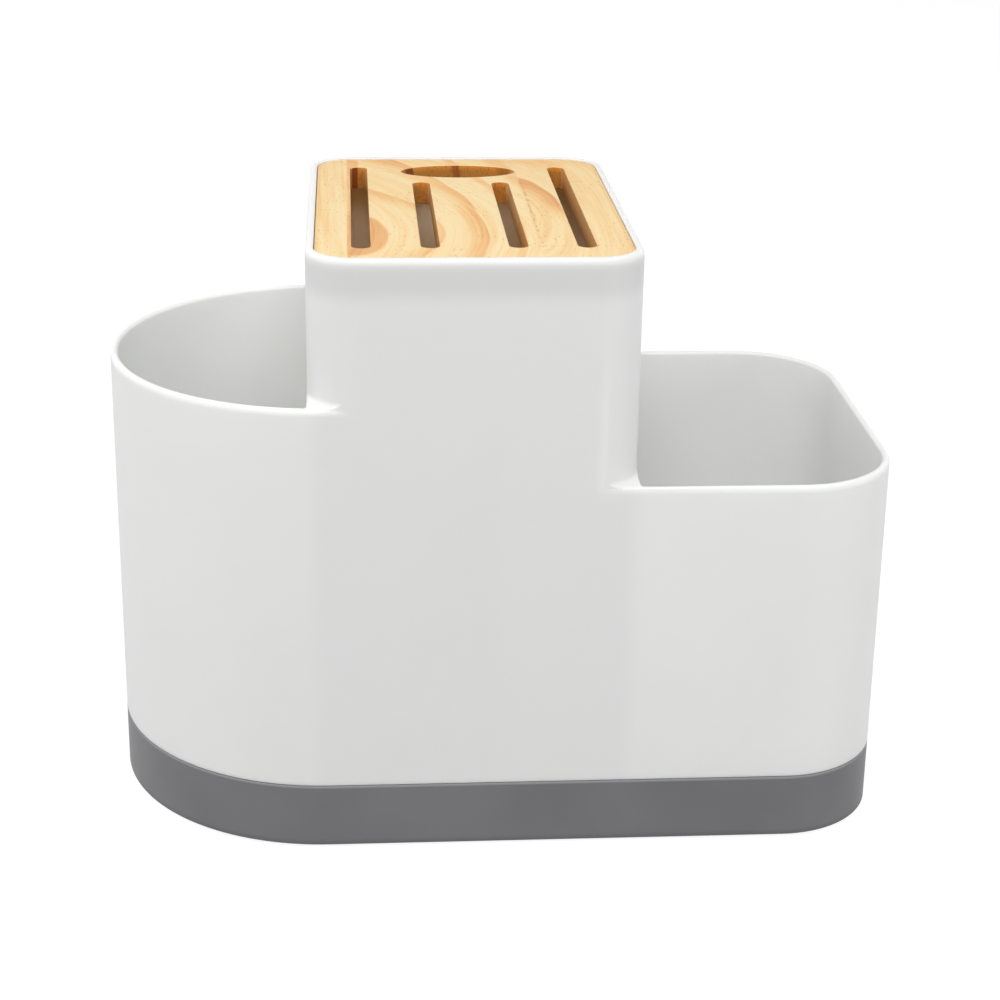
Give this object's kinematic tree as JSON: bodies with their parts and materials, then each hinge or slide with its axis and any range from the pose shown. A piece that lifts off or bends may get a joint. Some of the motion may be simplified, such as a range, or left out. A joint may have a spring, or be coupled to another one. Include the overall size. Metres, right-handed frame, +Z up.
{
  "type": "kitchen utensil rack",
  "caption": "Free-standing kitchen caddy with open utensil wells either side of a tall tower, a slotted wooden knife insert in its top and a grey drip tray under it.",
  "frame": {"origin": "middle of the rack's plan, on the surface that its feet stand on", "axes": "+Z up, +X to the right along the rack, +Y to the back, so the front faces -Y"},
  "size_m": [0.26, 0.145, 0.2023],
  "materials": {
    "white_plastic": "satin moulded white",
    "grey_plastic": "matte moulded grey",
    "pine": "smooth sanded pine, bare",
    "foot_rubber": "matte black"
  },
  "bodies": {
    "tray": {"drip_tray": "grey_plastic", "foot_front_left": "foot_rubber", "foot_front_right": "foot_rubber", "foot_back_left": "foot_rubber", "foot_back_right": "foot_rubber"},
    "caddy": {"caddy_floor": "white_plastic", "caddy_left_wall": "white_plastic", "caddy_tower": "white_plastic", "caddy_right_wall": "white_plastic", "caddy_left_skirt": "white_plastic", "caddy_right_skirt": "white_plastic"},
    "knife_block": {"knife_insert": "pine"}
  },
  "joints": [
    {"name": "caddy_lift", "type": "slide", "parent": "tray", "child": "caddy", "axis": [0, 0, 1], "range_m": [0, 0.04]},
    {"name": "insert_lift", "type": "slide", "parent": "caddy", "child": "knife_block", "axis": [0, 0, 1], "range_m": [0, 0.03]}
  ]
}
